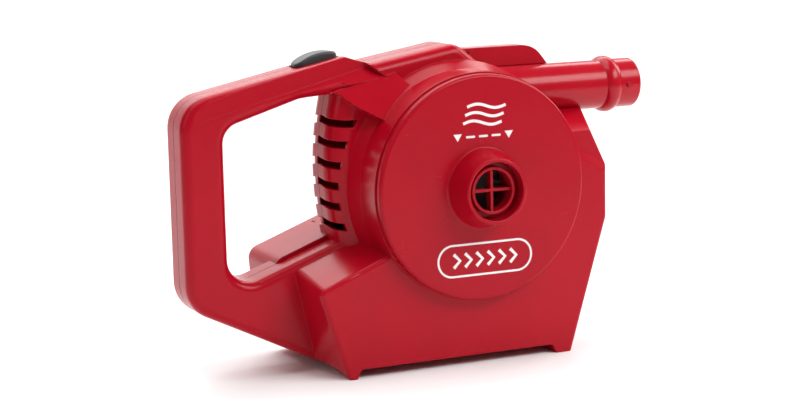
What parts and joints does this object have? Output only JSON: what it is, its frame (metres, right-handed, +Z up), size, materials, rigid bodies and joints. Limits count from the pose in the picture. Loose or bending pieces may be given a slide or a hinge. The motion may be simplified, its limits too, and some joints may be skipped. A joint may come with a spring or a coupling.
{
  "type": "electric air mattress pump",
  "caption": "Hand-held battery air pump with a D handle, a round fan cover with a deflate port, a side outlet nozzle, a thumb switch and a rear battery door.",
  "frame": {"origin": "on the floor, under the middle of the whole pump's bounding box", "axes": "+Z up, +X towards the outlet nozzle, -Y towards the fan cover and its deflate port"},
  "size_m": [0.326, 0.1272, 0.2029],
  "materials": {
    "red_casing": "satin moulded ABS",
    "red_cover": "satin moulded ABS",
    "red_nozzle": "polished moulded ABS",
    "black_switch": "fine-textured moulded plastic",
    "black_insert": "plain moulded plastic",
    "dark_inner": "plain moulded plastic",
    "grey_foam": "closed-cell foam",
    "white_fan": "moulded nylon",
    "motor_steel": "zinc-plated",
    "steel": "zinc-plated",
    "spring_steel": "nickel-plated",
    "brass_contact": "bright",
    "magnet": "sintered ferrite",
    "lamination": "stacked steel",
    "copper_winding": "enamelled copper",
    "carbon": "pressed carbon",
    "black_rubber": "soft rubber",
    "cell_jacket": "printed steel jacket",
    "red_wire": "PVC insulation",
    "white_wire": "PVC insulation",
    "black_wire": "PVC insulation"
  },
  "bodies": {
    "casing": {"battery_tray": "dark_inner", "black_lead": "black_wire", "cell_1": "cell_jacket", "cell_2": "cell_jacket", "cell_3": "cell_jacket", "cell_4": "cell_jacket", "contact_plates": "spring_steel", "contact_springs": "spring_steel", "cover_gasket": "grey_foam", "damper_ring": "black_rubber", "fan_cover": "red_cover", "front_shell": "red_casing", "motor_brushes": "carbon", "motor_bushings": "brass_contact", "motor_can": "motor_steel", "motor_end_cap": "black_insert", "motor_magnets": "magnet", "motor_screws": "steel", "motor_terminals": "brass_contact", "outlet_elbow": "dark_inner", "outlet_nozzle": "red_nozzle", "plate_screws": "steel", "port_grille": "red_cover", "rear_shell": "red_casing", "red_lead": "red_wire", "scroll_plate": "dark_inner", "scroll_wall": "dark_inner", "shell_screws": "steel", "switch_housing": "black_insert", "white_lead": "white_wire"},
    "button": {"switch_button": "black_switch", "switch_lever": "steel"},
    "rotor": {"impeller": "white_fan", "motor_shaft": "steel", "armature": "lamination", "armature_windings": "copper_winding"},
    "door": {"battery_door": "red_casing"}
  },
  "joints": [
    {"name": "switch_slide", "type": "slide", "parent": "casing", "child": "button", "axis": [0.9792, 0, 0.2027], "range_m": [0, 0.007]},
    {"name": "fan_spin", "type": "hinge", "parent": "casing", "child": "rotor", "pos_m": [0.021, 0.01265, 0.115], "axis": [0, -1, 0], "continuous": true},
    {"name": "door_swing", "type": "hinge", "parent": "casing", "child": "door", "pos_m": [0.021, 0.06125, 0.0115], "axis": [-1, 0, 0], "range_deg": [0, 90]}
  ]
}
